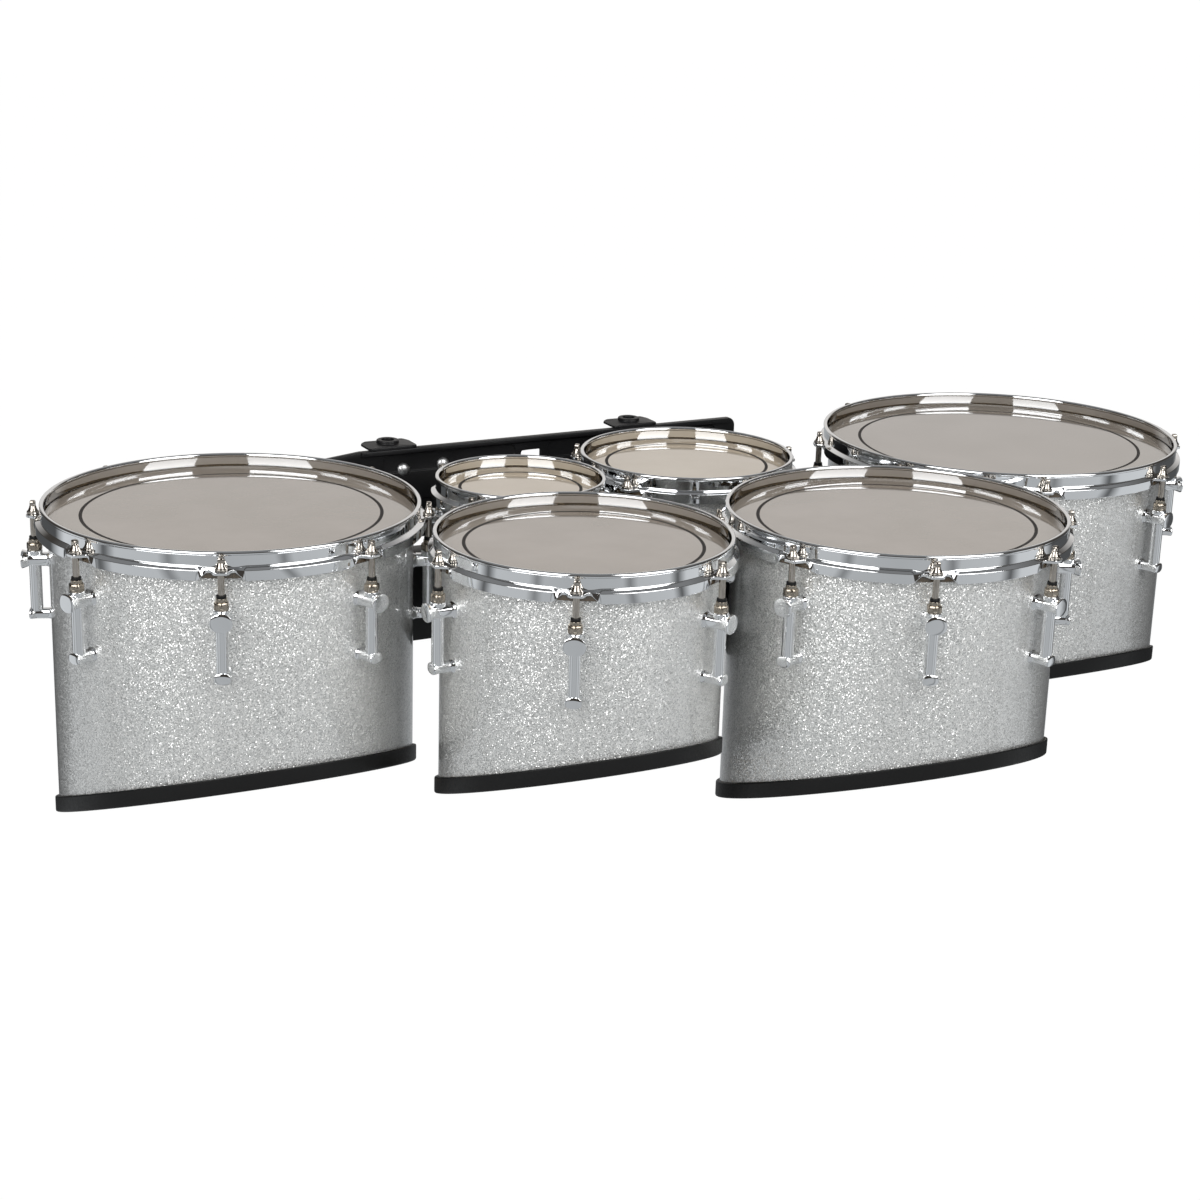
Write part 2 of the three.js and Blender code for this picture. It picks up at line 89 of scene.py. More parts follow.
# The room: white to the camera, and to metal and matt surfaces dark, but pale behind the drums.
# The sides' stops are shares of a turn, with the camera's side at a half. ROOM_HEIGHTS fades the
# sides into the top, and ROOM_FILL is the share of the room's light that matt surfaces get.
WORLD_WHITE = 1.02
ROOM_FRONT = (0.05, 0.045, 0.04)
ROOM_BACK = (0.7, 0.68, 0.66)
ROOM_TOP = (0.2, 0.205, 0.21)
ROOM_SIDES = ((0.07, ROOM_BACK), (0.11, ROOM_FRONT), (0.89, ROOM_FRONT), (0.93, ROOM_BACK))
ROOM_HEIGHTS = ((0.45, 0.0), (0.75, 1.0))
ROOM_FILL = 0.9

# The floor: FLOOR_GLOW is the share of plain white in what the camera sees, and the rest takes the
# shadow. To metal the floor glows with a painted reflection: bright and dark tones that go by the
# degrees from the camera's side, round FLOOR_CENTRE.
FLOOR_BELOW = 420 * MM
FLOOR_HALF = 12
FLOOR_GREY = (0.55, 0.55, 0.55)
FLOOR_ROUGHNESS = 0.8
FLOOR_WHITE = 1.03
FLOOR_GLOW = 0.97
FLOOR_CENTRE = (0, -0.25, 0)
# The painted reflection's bluish tint, then its bands of glow (degrees, tone), bright and dark
FLOOR_REFLECTION_TINT = (0.98, 1.015, 1.045)
FLOOR_REFLECTION_GLOW = (
    (-180, 0.42), (-158, 0.3), (-140, 0.08), (-112, 0.08), (-102, 0.66), (-78, 0.62),
    (-70, 0.1), (-63, 0.54), (-38, 0.52), (-32, 0.24), (-27, 0.46), (0, 0.43),
    (27, 0.46), (32, 0.22), (38, 0.5), (63, 0.54), (70, 0.1), (78, 0.62),
    (102, 0.66), (112, 0.08), (140, 0.08), (158, 0.3), (180, 0.42),
)

# Drums: number of lugs, the first lug's angle from the front, and the head's ring line (diameter).
# The small drums' hoops end SMALL_DROP lower than the others.
LUGS = {
    "6": (4, 33.392), "8": (5, 12), "10": (6, 150.042), "12": (8, 112.575), "13": (8, 67.49),
    "14": (8, -67.525),
}
RING_LINES = {
    "6": 118 * MM, "8": 163 * MM, "10": 213 * MM, "12": 257 * MM, "13": 272 * MM, "14": 292 * MM,
}
SMALL = ("6", "8")
SMALL_DROP = 8 * MM

# Shell and edging, offsets from the shell's outer face and heights from the slanted bottom
SHELL_WALL = 6 * MM
SHELL_TOP_DROP = 13.5 * MM
SCOOP_SLOPE = 0.38
EDGE_PROUD = 3.6 * MM
EDGE_HEIGHT = 16 * MM
EDGE_FLOOR = 4 * MM
EDGE_SEAT = 0.3 * MM
EDGE_LIP = 0.15 * MM
EDGE_ROUND_LOW = 2.4 * MM
EDGE_ROUND_TOP = 2.6 * MM
EDGE_ROUND_INNER = 1.5 * MM

# Hoop, offsets from the shell's outer face and drops from the hoop's top
HOOP_INNER = 3.9 * MM
HOOP_OUTER = 6.3 * MM
BEAD_MIDDLE = 4.9 * MM
BEAD_RADIUS = 2.1 * MM
BEAD_FROM, BEAD_TO = 235, -50
BEAD_STEPS = 16
FLANGE_TOP = 14.5 * MM
FLANGE_UNDER = 16.9 * MM
FLANGE_ROUND_INNER = 1 * MM
FLANGE_ROUND_OUTER = 0.9 * MM
SKIRT_REACH = 11 * MM
SKIRT_WALL = 1.8 * MM
SKIRT_DEPTH = 25 * MM
SKIRT_ROUND_OUTER = 0.7 * MM
SKIRT_ROUND_INNER = 0.6 * MM

# Between the ears the flange slopes outwards by this much, and by these shares at its other corners
FLANGE_LEAN = 1.6 * MM
LEAN_OUTER = 0.75
LEAN_UNDER = 0.5

# The hoop's ears, notches and the turned-out ends of its skirt, by the distance from a rod
EAR_REACH = 19.8 * MM
EAR_FLAT = 4 * MM
EAR_FOOT = 11.5 * MM
CURL_MIDDLE = 17 * MM
CURL_HALF = 5.5 * MM
CURL_REACH = 1.6 * MM
NOTCH_LIP = 0.5 * MM
NOTCH_FLAT = 11 * MM
NOTCH_FOOT = 23 * MM

# Columns of the hoop's mesh: narrow ones to a little past each notch, wide ones between
NEAR_MARGIN = 2 * MM
NEAR_STEP = 0.8 * MM
WIDE_STEP = 5 * MM
WIDE_LEAST = 6

# Head, offsets from the shell's outer face and drop from the hoop's top; within SAME, two radii or
# heights count as one
HEAD_DROP = 12.4 * MM
FILM_THICKNESS = 0.8 * MM
FILM_EDGE = 3.4 * MM
FILM_COLLAR = 0.9 * MM
FILM_ROUND = 0.7 * MM
FLESH_RING_HEIGHT = 6 * MM
FLESH_RING_MARGIN = 0.5 * MM
FLESH_RING_ROUND = 1 * MM
RING_LINE_WIDTH = 3.2 * MM
SAME = 0.1 * MM

# Rods and lugs: reach from the shell's outer face, drops from the hoop's top
ROD_REACH = 14 * MM
UPPER_POST_DROP = 57.8 * MM
LOWER_POST_DROP = 109.5 * MM

# Their outlines in millimetres: radius, height from the hoop's top, radius of the corner
STEM_OUTLINE = (
    (0, -7.2, 0), (2.9, -7.2, 0.5), (3.4, -9.4, 0.8), (4.6, -11.8, 0.9), (5.6, -12.6, 0.5),
    (5.6, -14.2, 0.3), (3.0, -14.2, 0), (3.0, -66.0, 0.4), (0, -66.0, 0),
)
TUBE_OUTLINE = ((0, -50.5, 0), (5.55, -50.5, 0), (5.55, -106.0, 0), (0, -106.0, 0))
CUP_OUTLINE = (
    (0, -48.5, 0), (6.3, -48.5, 0.4), (7.0, -49.1, 0.5), (7.0, -51.2, 0.8), (6.0, -53.4, 0.6),
    (5.2, -54.0, 0), (0, -54.0, 0),
)
SLEEVE_OUTLINE = ((0, -38.4, 0), (4.9, -38.4, 0.4), (4.9, -41.8, 0), (0, -41.8, 0))
WASHER_OUTLINE = ((0, -35.6, 0), (4.4, -35.6, 0.8), (4.4, -38.4, 0.3), (0, -38.4, 0))
ROD_COLUMNS = 24
LUG_COLUMNS = 32

# The square key, half its width and height, and its corners' radius as a share of the half
KEY_STATIONS = ((1.3, -2.5), (2.1, -2.9), (2.5, -3.7), (2.5, -7.6), (2.1, -8.1))
KEY_CORNER = 0.3
KEY_CORNER_STEPS = 3

# The hexagonal collar: half across flats, reach of its corners, height
NUT_STATIONS = (
    (5.0, 5.0, -41.6), (6.2, 6.3, -41.9), (6.3, 7.0, -42.7), (6.3, 7.0, -47.9), (6.2, 6.4, -48.6),
)
NUT_CORNER_STEPS = 3
NUT_CORNER_TURN = math.radians(12)

# The lugs' posts: reach, width, height, and the power that rounds the section (2 is an ellipse)
UPPER_STATIONS = (
    (-0.4, 16.6, 14.4, 3), (0.6, 16.0, 13.8, 3), (1.6, 14.0, 12.6, 3), (3.4, 12.8, 12.0, 3),
    (16.5, 12.8, 12.0, 3), (19.0, 13.6, 12.4, 2.8), (21.0, 15.4, 13.6, 2.5),
    (23.0, 18.0, 15.4, 2.3), (24.4, 19.4, 16.4, 2.2), (25.1, 19.8, 16.7, 2.2),
    (25.5, 19.6, 16.5, 2.2), (25.75, 18.6, 15.5, 2.2), (25.95, 12.6, 10.4, 2.1),
    (26.05, 1.0, 0.9, 2),
)
LOWER_STATIONS = (
    (-0.4, 13.4, 11.6, 3), (0.8, 12.6, 11.0, 3), (2.0, 10.8, 9.8, 3), (4.0, 10.2, 9.4, 3),
    (14.0, 10.6, 9.4, 3), (16.6, 12.8, 9.6, 2.8), (18.6, 14.6, 9.9, 2.6), (19.6, 14.9, 10.0, 2.5),
    (20.2, 14.4, 9.6, 2.5), (20.6, 12.8, 8.2, 2.5), (20.85, 6.0, 4.0, 2.2), (20.9, 0.6, 0.5, 2),
)
POST_STEPS = 40
BELLY_SHARE = 0.12
BELLY_HEIGHT = 0.45

# Rail pieces and the width of their softened edges
SOFTENED = {
    "rail_plate": 0.8 * MM, "lower_frame": 1.2 * MM, "bracket_6": 1.2 * MM, "bracket_8": 1.2 * MM,
}
SOFT_STEPS = 3
WELD = 0.01 * MM
FLAT_ANGLE = math.radians(1)
EDGE_ANGLE = math.radians(40)

# Receivers for the carrier's hooks; the base falls off towards its ends
RECEIVER_COLUMNS = 96
RECEIVER_LENGTH = 54 * MM
RECEIVER_CORNER = 7 * MM
RECEIVER_FALL = 1.2 * MM
FALL_START = 0.75
COLLAR_REACH = 12.5 * MM
COLLAR_RADIUS = 11.75 * MM
COLLAR_HEIGHT = 3.3 * MM
COLLAR_MARGIN = 0.4 * MM
COLLAR_ROUND = 1.6 * MM
COLLAR_FOOT_ROUND = 0.9 * MM
BASE_ROUND = 1.4 * MM
BORE_RADIUS = 6.5 * MM
BORE_ROUND = 1.2 * MM
SOCKET_RADIUS = 10.8 * MM
SOCKET_ROUND = 1 * MM
FARTHEST_REACH = 0.2
HALVINGS = 40

# Dome bolts on the rail plate's front: place along the rail, drop from the large drums' hoop tops
PLATE_THICKNESS = 6 * MM
PANEL_DEPTH = 2 * MM
BOLTS = ((-164 * MM, 44.5 * MM), (-119 * MM, 42.5 * MM))
BOLT_RADIUS = 7 * MM
BOLT_HEIGHT = 4.6 * MM
BOLT_COLUMNS = 36
DOME_ANGLES = np.radians(np.arange(8, 91, 8.2))

# Columns round a drum, steps of a rounded corner, and the largest share of an edge it takes
COLUMNS = 192
FILLET_STEPS = 6
LONGEST_CUT = 0.49

# Lacquer, and the flakes under it: how many to a metre, and how far they tilt
COAT_ROUGHNESS = 0.03
FLAKE_SCALE = 1200
FLAKE_TILT = 0.6


# Outlines

def smoothstep(low, high, value):
    t = min(max((value - low) / (high - low), 0), 1)
    return t * t * (3 - 2 * t)


def filleted(points, closed=True):
    """Corner points (x, y, radius) as a polyline; each corner with a radius becomes an arc."""
    out = []
    count = len(points)
    for i, (x, y, radius) in enumerate(points):
        here = np.array((x, y))
        if radius <= 0 or (not closed and i in (0, count - 1)):
            out.append(here)
            continue
        before = np.array(points[i - 1][:2]) - here
        after = np.array(points[(i + 1) % count][:2]) - here
        la, lb = np.linalg.norm(before), np.linalg.norm(after)
        da, db = before / la, after / lb
        angle = math.acos(float(np.clip(da @ db, -1, 1)))
        cut = min(radius / math.tan(angle / 2), LONGEST_CUT * la, LONGEST_CUT * lb)
        start, end = here + da * cut, here + db * cut
        for k in range(FILLET_STEPS + 1):
            t = k / FILLET_STEPS
            out.append((1 - t) ** 2 * start + 2 * t * (1 - t) * here + t * t * end)
    return np.array(out)


def arc(cx, cy, radius, from_degrees, to_degrees, steps):
    angles = np.radians(np.linspace(from_degrees, to_degrees, steps + 1))
    return np.stack([cx + radius * np.cos(angles), cy + radius * np.sin(angles)], 1)


def rounded_square(half, radius, steps):
    points = []
    for i in range(4):
        cx = (half - radius) * (1 if i in (0, 3) else -1)
        cy = (half - radius) * (1 if i < 2 else -1)
        points += [tuple(p) for p in arc(cx, cy, radius, 90 * i, 90 * i + 90, steps)]
    return points


def hexagon(half, corner):
    """A hexagon across its flats at twice the half, with corners cut off round at their reach."""
    points = []
    for i in range(6):
        middle = math.radians(60 * i + 30)
        for k in range(NUT_CORNER_STEPS):
            a = middle + NUT_CORNER_TURN * (k - (NUT_CORNER_STEPS - 1) / 2)
            reach = min(corner, half / math.cos(abs(a - middle) - math.radians(30)))
            points.append((reach * math.cos(a), reach * math.sin(a)))
    return points


def post_section(width, height, power):
    """A rounded section that is widest a little below its middle and flatter at its bottom."""
    points = []
    for i in range(POST_STEPS):
        a = 2 * math.pi * i / POST_STEPS
        c, s = math.cos(a), math.sin(a)
        across = width / 2 * math.copysign(abs(c) ** (2 / power), c)
        up = height / 2 * math.copysign(abs(s) ** (2 / power), s)
        share = up / height + 0.5
        points.append((across * (1.0 + BELLY_SHARE * (BELLY_HEIGHT - share)), up))
    return points


# Meshes

def make_object(name, vertices, faces, materials, indices=None, sharp=35):
    """An object of the scene; edges sharper than the angle in degrees aren't shaded smooth."""
    mesh = bpy.data.meshes.new(name)
    mesh.from_pydata([tuple(v) for v in vertices], [], faces)
    for finish in materials:
        mesh.materials.append(finish)
    if indices is not None:
        mesh.polygons.foreach_set("material_index", indices)
    mesh.polygons.foreach_set("use_smooth", [True] * len(mesh.polygons))
    mesh.update()
    mesh.validate()
    mesh.set_sharp_from_angle(angle=math.radians(sharp))
    piece = bpy.data.objects.new(name, mesh)
    bpy.context.scene.collection.objects.link(piece)
    return piece


def place(piece, body, slot, *nodes):
    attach(piece, body)
    if nodes:
        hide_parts(*nodes)


def wound(rings, capped=False):
    """Rings of points joined into quads, round to the first ring or as a stack with capped ends."""
    count, width = len(rings), len(rings[0])
    vertices = [p for ring in rings for p in ring]
    faces = []
    for i in range(count - 1 if capped else count):
        a, b = i * width, (i + 1) % count * width
        for j in range(width):
            k = (j + 1) % width
            faces.append((a + j, b + j, b + k, a + k))
    if capped:
        last = len(vertices) - 1
        faces += [tuple(range(width)), tuple(range(last, last - width, -1))]
    return vertices, faces


def turned(outline, columns, centre=(0, 0, 0)):
    """An outline of (radius, height) from the axis, outwards and back to it, turned round it."""
    cx, cy, cz = centre
    body = [(r, z) for r, z in outline if r > 0]
    vertices, faces = [], []
    for i in range(columns):
        a = 2 * math.pi * i / columns
        vertices += [(cx + r * math.sin(a), cy - r * math.cos(a), cz + z) for r, z in body]
    width = len(body)
    for i in range(columns):
        a, b = i * width, (i + 1) % columns * width
        faces += [(a + j, b + j, b + j + 1, a + j + 1) for j in range(width - 1)]
    for end, height, order in ((0, outline[0][1], 1), (width - 1, outline[-1][1], -1)):
        axis = len(vertices)
        vertices.append((cx, cy, cz + height))
        for i in range(columns):
            pair = (i * width + end, (i + 1) % columns * width + end)[::order]
            faces.append((axis, pair[1], pair[0]))
    return vertices, faces


def joined(parts):
    """Several (vertices, faces, material number) as one mesh's lists."""
    vertices, faces, indices = [], [], []
    for part_vertices, part_faces, number in parts:
        base = len(vertices)
        vertices += list(part_vertices)
        faces += [tuple(base + k for k in face) for face in part_faces]
        indices += [number] * len(part_faces)
    return vertices, faces, indices


def column(drum, angle, profile, from_scoop=False):
    """One radial section of a drum; its points are (offset from the shell's face, height)."""
    s, c = math.sin(angle), math.cos(angle)
    points = []
    for offset, z in profile:
        r = drum["radius"] + offset
        y = -r * c
        shift = -drum["depth"] - SCOOP_SLOPE * y if from_scoop else 0
        points.append((drum["x"] + r * s, drum["y"] + y, drum["top"] + z + shift))
    return points


def set_on(drum, angle, vertices):
    """Points of (along the rim, outwards, up) set on a drum at an angle from its front."""
    s, c = math.sin(angle), math.cos(angle)
    base = drum["radius"]
    return [(drum["x"] + (base + o) * s + t * c, drum["y"] - (base + o) * c + t * s,
             drum["top"] + z) for t, o, z in vertices]


# Materials

def add_node(tree, kind, inputs=None, **settings):
    """A shader node; each input is a value, or the output of another node to link."""
    node = tree.nodes.new("ShaderNode" + kind)
    for key, value in settings.items():
        setattr(node, key, value)
    for key, value in (inputs or {}).items():
        if isinstance(value, bpy.types.NodeSocket):
            tree.links.new(value, node.inputs[key])
        else:
            node.inputs[key].default_value = value
    return node


def vector_math(tree, operation, inputs):
    return add_node(tree, "VectorMath", inputs, operation=operation).outputs[0]


def material(name, color, roughness, metallic=0.0, coat=0.0, **more):
    """A material, its node tree and its shader; more inputs have underscores for their spaces."""
    made = bpy.data.materials.new(name)
    made.use_nodes = True
    shader = made.node_tree.nodes["Principled BSDF"]
    shader.inputs["Base Color"].default_value = (*color, 1)
    shader.inputs["Roughness"].default_value = roughness
    shader.inputs["Metallic"].default_value = metallic
    shader.inputs["Coat Weight"].default_value = coat
    shader.inputs["Coat Roughness"].default_value = COAT_ROUGHNESS
    for key, value in more.items():
        shader.inputs[key.replace("_", " ")].default_value = value
    return made, made.node_tree, shader


def noise(tree, scale, detail, stretch=(1, 1, 1)):
    where = add_node(tree, "TexCoord").outputs["Object"]
    mapped = add_node(tree, "Mapping", {"Vector": where, "Scale": stretch}).outputs["Vector"]
    inputs = {"Vector": mapped, "Scale": scale, "Detail": detail}
    return add_node(tree, "TexNoise", inputs).outputs["Fac"]


def ramp(tree, source, stops):
    """The colour of a ramp; each stop is (place, colour or grey)."""
    made = add_node(tree, "ValToRGB", {"Fac": source})
    while len(made.color_ramp.elements) < len(stops):
        made.color_ramp.elements.new(0.5)
    for element, (share, tone) in zip(made.color_ramp.elements, stops):
        element.position = share
        element.color = (*(tone if isinstance(tone, tuple) else (tone,) * 3), 1)
    return made.outputs["Color"]


def vary(tree, shader, socket, texture, low, high, places=(0.3, 0.7)):
    """Runs a socket of the shader from low to high by a texture."""
    tree.links.new(ramp(tree, texture, tuple(zip(places, (low, high)))), shader.inputs[socket])


def bump(tree, shader, texture, distance, strength):
    made = add_node(tree, "Bump", {"Height": texture, "Distance": distance, "Strength": strength})
    tree.links.new(made.outputs["Normal"], shader.inputs["Normal"])


def chrome_material():
    made, tree, shader = material("chrome", (0.87, 0.88, 0.89), 0.04, 1.0)
    vary(tree, shader, "Roughness", noise(tree, 60, 3), 0.02, 0.05, (0.35, 0.75))
    return made


def nickel_material():
    made, tree, shader = material("nickel", (0.6, 0.55, 0.5), 0.14, 1.0)
    grain = noise(tree, 900, 2, (1, 1, 0.1))
    vary(tree, shader, "Base Color", grain, (0.36, 0.325, 0.285), (0.6, 0.555, 0.5))
    return made


def aged_nickel_material():
    made, tree, shader = material("aged_nickel", (0.4, 0.35, 0.29), 0.22, 1.0)
    vary(tree, shader, "Base Color", noise(tree, 700, 3), (0.3, 0.26, 0.21), (0.5, 0.45, 0.38))
    return made


def glitter_material():
    """Flakes under lacquer, each with a shade and a tilt of its own."""
    made, tree, shader = material("silver_glitter", (0.8, 0.81, 0.8), 0.3, 0.72, 1.0)
    where = add_node(tree, "TexCoord").outputs["Object"]
    flakes = add_node(tree, "TexVoronoi", {"Vector": where, "Scale": FLAKE_SCALE}).outputs["Color"]
    shade = add_node(tree, "SeparateColor", {"Color": flakes}).outputs["Red"]
    tone = ramp(tree, shade, ((0.0, (0.42, 0.425, 0.42)), (0.4, (0.74, 0.745, 0.73)),
                              (0.85, (0.9, 0.9, 0.885)), (1.0, (1.0, 1.0, 0.98))))
    tree.links.new(tone, shader.inputs["Base Color"])
    tilt = vector_math(tree, "SUBTRACT", {0: flakes, 1: (0.5, 0.5, 0.5)})
    scaled = vector_math(tree, "SCALE", {0: tilt, "Scale": FLAKE_TILT})
    normal = add_node(tree, "NewGeometry").outputs["Normal"]
    total = vector_math(tree, "ADD", {0: scaled, 1: normal})
    unit = vector_math(tree, "NORMALIZE", {0: total})
    tree.links.new(unit, shader.inputs["Normal"])
    return made


def film_material(name, low, high, roughness=0.06, ior=1.8, coat=0.6):
    made, tree, shader = material(name, high, roughness, coat=coat, IOR=ior)
    vary(tree, shader, "Base Color", noise(tree, 14, 5), low, high)
    bump(tree, shader, noise(tree, 1600, 2), 0.02 * MM, 0.15)
    return made


def satin_material():
    made, tree, shader = material("satin_steel", (0.6, 0.6, 0.6), 0.36, 1.0)
    vary(tree, shader, "Roughness", noise(tree, 1200, 3), 0.32, 0.46)
    return made


def rubber_material():
    color = (0.006, 0.006, 0.006)
    made, tree, shader = material("black_rubber", color, 0.42, Specular_IOR_Level=0.25)
    grain = noise(tree, 500, 4)
    vary(tree, shader, "Roughness", grain, 0.36, 0.52)
    bump(tree, shader, grain, 0.15 * MM, 0.3)
    return made


def black_metal_material():
    color = (0.006, 0.006, 0.007)
    made, tree, shader = material("satin_black", color, 0.4, Specular_IOR_Level=0.3)
    bump(tree, shader, noise(tree, 1400, 3), 0.06 * MM, 0.35)
    worn, plain = (0.004, 0.004, 0.0045), (0.008, 0.008, 0.0085)
    vary(tree, shader, "Base Color", noise(tree, 30, 4), worn, plain, (0.3, 0.75))
    return made


def wood_material():
    made, tree, shader = material("birch_ply", (0.62, 0.47, 0.31), 0.45)
    grain = noise(tree, 60, 6, (1, 1, 0.08))
    vary(tree, shader, "Base Color", grain, (0.5, 0.36, 0.22), (0.68, 0.54, 0.37))
    bump(tree, shader, grain, 0.1 * MM, 0.2)
    return made


CHROME = chrome_material()
NICKEL = nickel_material()
AGED_NICKEL = aged_nickel_material()
GLITTER = glitter_material()
FILM = film_material("smoky_film", (0.23, 0.195, 0.16), (0.28, 0.24, 0.205))
FILM_RIM = film_material("smoky_film_rim", (0.25, 0.215, 0.18), (0.3, 0.265, 0.225))
PALE_FILM = film_material("pale_film", (0.46, 0.385, 0.29), (0.52, 0.445, 0.35))
# The collar: a dark brown ring of painted shade where the film meets the hoop
SHADED_COLLAR_FILM = film_material("film_collar_painted_shade", (0.045, 0.03, 0.014), (0.08, 0.055, 0.03))
RING_BLACK = film_material("ring_line", (0.02, 0.017, 0.015), (0.03, 0.027, 0.025), 0.5, 1.2, 0.0)
RUBBER = rubber_material()
BLACK = black_metal_material()
SATIN = satin_material()
WOOD = wood_material()


# Drums

def read_drum(name):
    low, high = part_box(f"head_{name}")
    edge_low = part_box(f"edge_trim_{name}")[0]
    radius = int(name) * INCH / 2
    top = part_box(f"hoop_{name}")[1].z
    depth = top - edge_low.z - SCOOP_SLOPE * (radius + EDGE_PROUD)
    count, first = LUGS[name]
    angles = [math.radians(first + 360 / count * i) for i in range(count)]
    return {"name": name, "x": (low.x + high.x) / 2, "y": (low.y + high.y) / 2, "top": top,
            "radius": radius, "depth": depth, "angles": angles, "small": name in SMALL}


def round_angles():
    return [2 * math.pi * i / COLUMNS for i in range(COLUMNS)]


def make_shell(drum):
    """The wall; the last two faces of each column, its bottom edge and its inside, are wood."""
    upper = [(-SHELL_WALL, -SHELL_TOP_DROP), (-SHELL_WALL / 2, -SHELL_TOP_DROP),
             (0, -SHELL_TOP_DROP - SHELL_WALL / 3)]
    lower = [(0, EDGE_FLOOR + EDGE_SEAT), (-SHELL_WALL, EDGE_FLOOR + EDGE_SEAT)]
    rings = [column(drum, angle, upper) + column(drum, angle, lower, from_scoop=True)
             for angle in round_angles()]
    vertices, faces = wound(rings)
    indices = [0, 0, 0, 1, 1] * COLUMNS
    shell = make_object(f"shell_wall_{drum['name']}", vertices, faces, [GLITTER, WOOD], indices)
    place(shell, ROOT, "shell", f"shell_{drum['name']}")


def make_edging(drum):
    profile = filleted([
        (EDGE_PROUD, 0, EDGE_ROUND_LOW), (EDGE_PROUD, EDGE_HEIGHT, EDGE_ROUND_TOP),
        (EDGE_LIP, EDGE_HEIGHT, 0), (EDGE_LIP, EDGE_FLOOR, 0), (-SHELL_WALL, EDGE_FLOOR, 0),
        (-SHELL_WALL, 0, EDGE_ROUND_INNER),
    ])
    rings = [column(drum, angle, profile, from_scoop=True) for angle in round_angles()]
    vertices, faces = wound(rings)
    edging = make_object(f"edging_{drum['name']}", vertices, faces, [RUBBER], sharp=50)
    place(edging, ROOT, "edging", f"edge_trim_{drum['name']}")


def make_head(drum):
    """Film and flesh ring; its materials are the film's middle, ring line, rim, and collar, which is
    dark with painted shade.
    """
    radius = drum["radius"]
    line = RING_LINES[drum["name"]] / 2
    edge = radius + FILM_EDGE
    rim = radius + SKIRT_REACH - SKIRT_WALL - FLESH_RING_MARGIN
    ring_top = -FLANGE_UNDER - EDGE_SEAT
    ring_low = ring_top - FLESH_RING_HEIGHT
    inner = radius + EDGE_SEAT
    under = -HEAD_DROP - FILM_THICKNESS
    body = filleted([
        (line + RING_LINE_WIDTH / 2, -HEAD_DROP, 0), (radius + FILM_COLLAR, -HEAD_DROP, 0),
        (edge, -HEAD_DROP, FILM_ROUND), (edge, ring_top, 0), (rim, ring_top, FLESH_RING_ROUND),
        (rim, ring_low, FLESH_RING_ROUND), (inner, ring_low, 0), (inner, under, 0),
    ], closed=False)
    outline = [(0, -HEAD_DROP), (line / 2, -HEAD_DROP), (line - RING_LINE_WIDTH / 2, -HEAD_DROP),
               *[tuple(p) for p in body], (0, under)]
    vertices, faces = turned(outline, COLUMNS, (drum["x"], drum["y"], drum["top"]))
    middle_film, rim_film = (PALE_FILM, PALE_FILM) if drum["small"] else (FILM, FILM_RIM)
    indices = []
    for face in faces:
        r = max(math.hypot(vertices[k][0] - drum["x"], vertices[k][1] - drum["y"]) for k in face)
        z = min(vertices[k][2] for k in face) - drum["top"]
        # Faces out past the collar's start take the dark film of painted shade
        if r > radius + FILM_COLLAR + SAME:
            indices.append(3)
        elif z < -HEAD_DROP - SAME:
            indices.append(2)
        elif r < line:
            indices.append(0)
        elif r < line + RING_LINE_WIDTH:
            indices.append(1)
        else:
            indices.append(2)
    films = [middle_film, RING_BLACK, rim_film, SHADED_COLLAR_FILM]
    head = make_object(f"film_{drum['name']}", vertices, faces, films, indices)
    place(head, ROOT, "small_head" if drum["small"] else "head", f"head_{drum['name']}")


def hoop_angles(drum):
    """Angles round the hoop, close together at the ears and wider between them."""
    reach = drum["radius"] + ROD_REACH
    near = (NOTCH_FOOT + NEAR_MARGIN) / reach
    fine = round(near * reach / NEAR_STEP)
    gap = 2 * math.pi / len(drum["angles"]) - 2 * near
    coarse = max(WIDE_LEAST, round(gap * reach / WIDE_STEP))
    angles = []
    for centre in drum["angles"]:
        angles += [centre + near * k / fine for k in range(-fine, fine)]
        angles += [centre + near + gap * k / coarse for k in range(coarse)]
    return angles


def hoop_profile(aside):
    """The hoop's section at a distance along the rim from the nearest rod."""
    notch = 1 - smoothstep(NOTCH_FLAT, NOTCH_FOOT, aside)
    ear = 1 - smoothstep(EAR_FLAT, EAR_FOOT, aside)
    reach = SKIRT_REACH + (EAR_REACH - SKIRT_REACH) * ear
    low = SKIRT_DEPTH + (FLANGE_UNDER + NOTCH_LIP - SKIRT_DEPTH) * notch
    curl = CURL_REACH * (1 - smoothstep(0, CURL_HALF, abs(aside - CURL_MIDDLE)))
    lean = FLANGE_LEAN * smoothstep(EAR_FOOT, NOTCH_FOOT, aside)
    bead = arc(BEAD_MIDDLE, -BEAD_RADIUS, BEAD_RADIUS, BEAD_FROM, BEAD_TO, BEAD_STEPS)
    rest = filleted([
        (HOOP_OUTER, -2 * BEAD_RADIUS, 0),
        (HOOP_OUTER, -FLANGE_TOP + lean, FLANGE_ROUND_INNER),
        (reach, -FLANGE_TOP - LEAN_OUTER * lean, FLANGE_ROUND_OUTER),
        (reach + curl, -low, SKIRT_ROUND_OUTER),
        (reach + curl - SKIRT_WALL, -low, SKIRT_ROUND_INNER),
        (reach - SKIRT_WALL, -FLANGE_UNDER - LEAN_UNDER * lean, 0),
        (HOOP_INNER, -FLANGE_UNDER, 0),
        (HOOP_INNER, -2 * BEAD_RADIUS, 0),
    ], closed=False)
    return np.concatenate([bead, rest])


